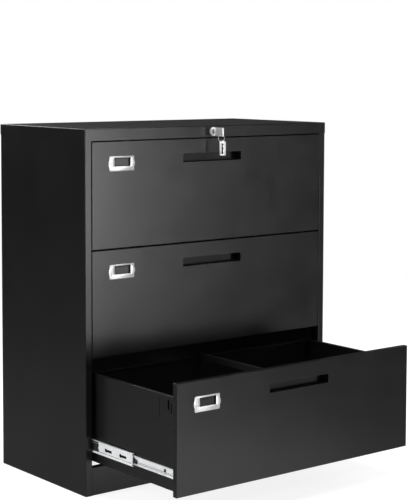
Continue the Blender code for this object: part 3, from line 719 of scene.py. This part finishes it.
def add_lock_fittings():
    """The rolled rim of the lock, the rim of its plug, and the key's shoulder."""
    face = (0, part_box("lock_housing")[0].y, LOCK_Z)
    bezel, plug_rim = (10.4, 12.9, 1.5), (7.15, 8.3, 0.8)
    bm = bmesh.new()
    for inside, outside, rise in (bezel, plug_rim):
        crest = (inside + outside) / 2 * MM
        half = (outside - inside) / 2 * MM
        profile = [
            (crest + half * math.cos(turn), rise * MM * math.sin(turn) - 0.1 * MM)
            for turn in (math.radians(30 * step) for step in range(7))
        ]
        profile += [(crest - half, -0.6 * MM), (crest + half, -0.6 * MM)]
        add_turned(bm, profile, face, FORWARDS, 40, closed=True)
    add_piece("lock_bezel", bm, "lock_chrome", "cabinet")

    blade = 26 * MM
    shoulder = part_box("key")[1].y - blade
    half_width, half_height = 2.3 * MM, 7 * MM
    bm = bmesh.new()
    add_block(
        bm, (-half_width, shoulder - 2.6 * MM, LOCK_Z - half_height),
        (half_width, shoulder, LOCK_Z + half_height), 0.9 * MM,
    )
    add_piece("key_collar", bm, "key_nickel", "key")


def add_key_ring():
    """A wire ring through the key's window. Returns where a second key hangs from it."""
    window = Vector((0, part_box("key")[0].y + 10 * MM, LOCK_Z - 8.7 * MM))
    radius, wire = 9.4 * MM, 0.95 * MM
    centre = window - Vector((0, 0, radius))
    turned = Matrix.Rotation(math.radians(-18), 4, "Z")
    axis = turned @ Vector((0, 1, 0))
    bm = bmesh.new()
    profile = [
        (radius + wire * math.cos(turn), wire * math.sin(turn))
        for turn in (math.radians(45 * step) for step in range(8))
    ]
    add_turned(bm, profile + profile[:1], centre, axis, 48)
    bmesh.ops.remove_doubles(bm, verts=bm.verts, dist=0.01 * MM)
    add_piece("key_ring", bm, "key_nickel", "key")
    aside = 2.2 * MM
    return centre + turned @ Vector((aside, 0, -radius))


def add_spare_key(place):
    """A folding key on the ring: a body with a wavy slot, and a rail along each long edge."""
    stand = (
        Matrix.Translation(place)
        @ Matrix.Rotation(math.radians(-58), 4, "Z")
        @ Matrix.Rotation(math.radians(90), 4, "X")
        @ Matrix.Translation((2 * MM, 0, 0))
    )
    half, bottom, top = 9.5 * MM, -41 * MM, 2.6 * MM
    outline = [
        (half - 1 * MM, bottom), (half, bottom + 1 * MM), (half, top - 4 * MM),
        (half - 3 * MM, top - 1 * MM), (2.5 * MM, top), (-2.5 * MM, top),
        (3 * MM - half, top - 1 * MM), (-half, top - 4 * MM), (-half, bottom + 1 * MM),
        (1 * MM - half, bottom),
    ]
    hole = 1.7 * MM
    eye = [
        (hole * math.cos(turn) - 2 * MM, hole * math.sin(turn) - 0.5 * MM)
        for turn in (math.radians(-30 * step) for step in range(12))
    ]
    wavy = [
        (2.0 * MM + 1.1 * MM * math.sin(1.9 * step), bottom + 4.5 * MM + 3.9 * MM * step)
        for step in range(9)
    ]
    slot = [(-across - 0.4 * MM, up) for across, up in wavy] + list(reversed(wavy))
    bm = stamping([outline, eye, slot], 2 * MM, 0.4 * MM, stand)
    for across in (2 * MM - half, half - 2 * MM):
        low_end = stand @ Vector((across, bottom + 1 * MM, 0.8 * MM))
        high_end = stand @ Vector((across, top - 5 * MM, 0.8 * MM))
        add_rod(bm, low_end, high_end, 1.5 * MM)
    add_piece("spare_key", bm, "key_nickel", "key")


def add_screws():
    """Screws that hold the back, the cap and the lock bar's guides, with plain washers."""
    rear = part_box("left_side_panel")[1].y
    back_across, cap_across = 439 * MM, 330 * MM
    for word, side in SIDES:
        bm = bmesh.new()
        for level in (60, 260, 460, 660, 860, 980):
            add_screw(bm, (side * back_across, rear, level * MM), BACKWARDS, *PAN_HEAD)
        add_piece(f"{word}_rear_screws", bm, "lock_steel", "cabinet")
    bm = bmesh.new()
    for _, side in SIDES:
        add_screw(bm, (side * cap_across, cad_high.y, LOCK_Z), BACKWARDS, *PAN_HEAD)
    add_piece("cap_rear_screws", bm, "lock_steel", "cabinet")
    radius, thickness = 6 * MM, 0.6 * MM
    washer = [(0, 0), (radius, 0), (radius, thickness), (0, thickness)]
    bm = bmesh.new()
    for level in (440 * MM, 860 * MM):
        spot = Vector((0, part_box("back_panel")[0].y - 2.2 * MM, level + 4.5 * MM))
        add_turned(bm, washer, spot, FORWARDS, 24)
        add_screw(bm, spot - Vector((0, thickness, 0)), FORWARDS, 4 * MM, 2 * MM)
    add_piece("lock_bar_screws", bm, "lock_steel", "cabinet")


def add_clinches(drawer):
    """Pressed joints where a drawer's sides are fixed to its bottom and its end walls."""
    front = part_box(f"{drawer}_drawer_front")[0].y
    for word, side in SIDES:
        low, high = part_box(f"{drawer}_drawer_{word}_side")
        face = low.x if side < 0 else high.x
        bm = bmesh.new()
        half = 5 * MM
        for along in (60, 130, 166, 203, 238, 310, 380):
            y = front + along * MM
            add_block(
                bm, (face + side * 0.6 * MM, y - half, low.z + 0.6 * MM),
                (face - side * 0.3 * MM, y + half, low.z + 3.4 * MM), 0.25 * MM,
            )
        for level in (60, 130, 200):
            for along in (38, 405):
                spot = (face, front + along * MM, low.z + level * MM)
                add_rivet(bm, spot, (side, 0, 0), 3 * MM, 0.5 * MM)
        add_piece(f"{drawer}_{word}_side_clinches", bm, "box_paint", f"{drawer}_drawer")


def add_return_hole_shades(drawer):
    """Painted shade: flat black discs over the holes in the drawer front's side returns, standing
    in for their dark insides.
    """
    low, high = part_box(f"{drawer}_drawer_front")
    for word, side in SIDES:
        face = low.x if side < 0 else high.x
        bm = bmesh.new()
        for level in RETURN_HOLES:
            spot = (face, low.y + RETURN_HOLE_Y, low.z + level)
            add_rivet(bm, spot, (side, 0, 0), 2.8 * MM, 0.2 * MM)
        add_piece(
            f"{drawer}_{word}_return_hole_shades", bm, "stop_plastic", f"{drawer}_drawer", "pocket_black"
        )


def add_kick_tabs():
    """Tabs behind the kick plate's ends, which close the gap beside it."""
    low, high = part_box("kick_plate")
    reach, width = 0.27 * MM, 14 * MM
    edge = high.x + reach
    for word, side in SIDES:
        bm = bmesh.new()
        add_block(
            bm, (side * edge, low.y + 0.9 * MM, 3 * MM),
            (side * (edge - width), low.y + 2 * MM, high.z - 2.5 * MM), 0.2 * MM,
        )
        add_piece(f"{word}_kick_tab", bm, "carcass_paint", "cabinet")


def add_fittings():
    for drawer in DRAWERS:
        for word, _ in SIDES:
            add_slide_fittings(drawer, word)
        add_label_frame(drawer)
        add_window_shade(drawer)
        add_clinches(drawer)
        add_return_hole_shades(drawer)
    add_lock_fittings()
    add_spare_key(add_key_ring())
    add_screws()
    add_kick_tabs()


# ---------------------------------------------------------------- stage


def area_light(name, place, target, size, power):
    """A soft box. The power is in watts, and the size is its width and height."""
    data = bpy.data.lights.new(name, "AREA")
    data.shape = "RECTANGLE"
    data.size, data.size_y = size
    data.energy = power
    lamp = bpy.data.objects.new(name, data)
    bpy.context.scene.collection.objects.link(lamp)
    lamp.location = place
    lamp.rotation_euler = (Vector(target) - Vector(place)).to_track_quat("-Z", "Y").to_euler()


def make_lights():
    """Five soft boxes round the object, all turned to its middle."""
    middle = (0, 0, 0.5)
    for name, place, size, power in (
        ("left_box", (-3.0, 0.2, 1.3), (1.6, 1.6), 60),
        ("front_box", (0.2, -3.2, 2.4), (1.6, 1.2), 25),
        ("top_box", (0, -0.1, 3.2), (2.4, 2.0), 70),
        ("right_box", (3.2, 0.6, 1.6), (1.4, 1.8), 45),
        ("rear_box", (-0.6, 3.3, 2.0), (1.6, 1.8), 45),
    ):
        area_light(name, place, middle, size, power)


def eased(tree, value, span, low=0.0, high=1.0):
    """The value turned into one that eases from low to high across the span."""
    made = tree.nodes.new("ShaderNodeMapRange")
    made.interpolation_type = "SMOOTHSTEP"
    for index, number in enumerate((*span, low, high)):
        made.inputs[index + 1].default_value = number
    tree.links.new(value, made.inputs[0])
    return made.outputs[0]


def measured(tree, place, operation, against=None):
    """A vector's length, its distance from a point, or how far it lies along a direction."""
    made = tree.nodes.new("ShaderNodeVectorMath")
    made.operation = operation
    if against is not None:
        made.inputs[1].default_value = against
    tree.links.new(place, made.inputs[0])
    return made.outputs["Value"]


def make_world():
    """White behind the object. What it reflects is a dim surround with broad soft glows."""
    world = bpy.data.worlds.new("studio")
    bpy.context.scene.world = world
    world.use_nodes = True
    tree = world.node_tree
    nodes, links = tree.nodes, tree.links
    backdrop = nodes["Background"]
    backdrop.inputs["Color"].default_value = (1, 1, 1, 1)
    towards = nodes.new("ShaderNodeTexCoord").outputs["Generated"]
    total = None
    for azimuth, elevation, outer, inner, strength in GLOWS:
        around, above = math.radians(azimuth), math.radians(elevation)
        aim = (
            math.sin(around) * math.cos(above), -math.cos(around) * math.cos(above),
            math.sin(above),
        )
        span = (math.cos(math.radians(outer)), math.cos(math.radians(inner)))
        base = SURROUND if total is None else 0.0
        glow = eased(tree, measured(tree, towards, "DOT_PRODUCT", aim), span, base, strength)
        if total is None:
            total = glow
            continue
        both = nodes.new("ShaderNodeMath")
        links.new(total, both.inputs[0])
        links.new(glow, both.inputs[1])
        total = both.outputs[0]
    surround = nodes.new("ShaderNodeBackground")
    surround.inputs["Color"].default_value = (1, 1, 1, 1)
    links.new(total, surround.inputs["Strength"])
    pick = nodes.new("ShaderNodeMixShader")
    path = nodes.new("ShaderNodeLightPath")
    links.new(path.outputs["Is Camera Ray"], pick.inputs["Fac"])
    links.new(surround.outputs["Background"], pick.inputs[1])
    links.new(backdrop.outputs["Background"], pick.inputs[2])
    links.new(pick.outputs["Shader"], nodes["World Output"].inputs["Surface"])


def make_disc(name, radius, place, material_name):
    """A flat disc that casts no shadow, and the node tree of its own material."""
    bm = bmesh.new()
    bmesh.ops.create_circle(bm, cap_ends=True, segments=96, radius=radius)
    mesh = bpy.data.meshes.new(name)
    bm.to_mesh(mesh)
    bm.free()
    disc = bpy.data.objects.new(name, mesh)
    bpy.context.scene.collection.objects.link(disc)
    disc.location = place
    disc.visible_shadow = False
    material = bpy.data.materials.new(material_name)
    material.use_nodes = True
    mesh.materials.append(material)
    return disc, material.node_tree


def fade_out(tree, shader, place, span):
    """Ends a material: its shader, turning clear between two distances from the middle."""
    mix = tree.nodes.new("ShaderNodeMixShader")
    clear = tree.nodes.new("ShaderNodeBsdfTransparent")
    tree.links.new(eased(tree, measured(tree, place, "LENGTH"), span), mix.inputs["Fac"])
    tree.links.new(shader, mix.inputs[1])
    tree.links.new(clear.outputs["BSDF"], mix.inputs[2])
    tree.links.new(mix.outputs["Shader"], tree.nodes["Material Output"].inputs["Surface"])


def make_floor():
    """A plain white floor that fades into the backdrop. Glossy surfaces don't see it."""
    floor, tree = make_disc("floor", FLOOR_RADIUS, (0, 0, -0.2 * MM), "floor_white")
    floor.visible_glossy = False
    shade = tree.nodes["Principled BSDF"]
    shade.inputs["Base Color"].default_value = (FLOOR_GREY, FLOOR_GREY, FLOOR_GREY, 1)
    shade.inputs["Roughness"].default_value = 0.9
    shade.inputs["Specular IOR Level"].default_value = 0.0
    shade.inputs["Emission Color"].default_value = (1, 1, 1, 1)
    shade.inputs["Emission Strength"].default_value = FLOOR_LIGHT
    place = tree.nodes.new("ShaderNodeTexCoord").outputs["Object"]
    fade_out(tree, shade.outputs["BSDF"], place, FLOOR_FADE)


def make_floor_glow():
    """What glossy surfaces see of the floor: a soft pool of light in front of the cabinet."""
    glow, tree = make_disc("floor_glow", GLOW_RADIUS, (0, -0.1, -0.4 * MM), "floor_glow")
    glow.visible_camera = False
    glow.visible_diffuse = False
    tree.nodes.remove(tree.nodes["Principled BSDF"])
    place = tree.nodes.new("ShaderNodeTexCoord").outputs["Object"]
    apart = measured(tree, place, "DISTANCE", POOL_CENTRE)
    light = tree.nodes.new("ShaderNodeEmission")
    pool = eased(tree, apart, POOL_REACH, FLOOR_POOL, FLOOR_GLOW)
    tree.links.new(pool, light.inputs["Strength"])
    fade_out(tree, light.outputs["Emission"], place, GLOW_FADE)


def make_camera():
    data = bpy.data.cameras.new("camera")
    data.lens = CAMERA_LENS
    data.sensor_width = 36
    data.shift_y = CAMERA_SHIFT_Y
    data.clip_end = 100
    camera = bpy.data.objects.new("camera", data)
    bpy.context.scene.collection.objects.link(camera)
    turn = (
        Matrix.Rotation(-CAMERA_YAW, 4, "Z")
        @ Matrix.Rotation(math.radians(90) - CAMERA_PITCH, 4, "X")
        @ Matrix.Rotation(CAMERA_ROLL, 4, "Z")
    )
    camera.matrix_world = Matrix.Translation(CAMERA_PLACE) @ turn
    bpy.context.scene.camera = camera
    bpy.context.scene.view_settings.view_transform = "Standard"


# ---------------------------------------------------------------- all of it

make_camera()
make_world()
make_floor()
make_floor_glow()
make_lights()
finishes = make_finishes()
dress_nodes(finishes)
add_fittings()
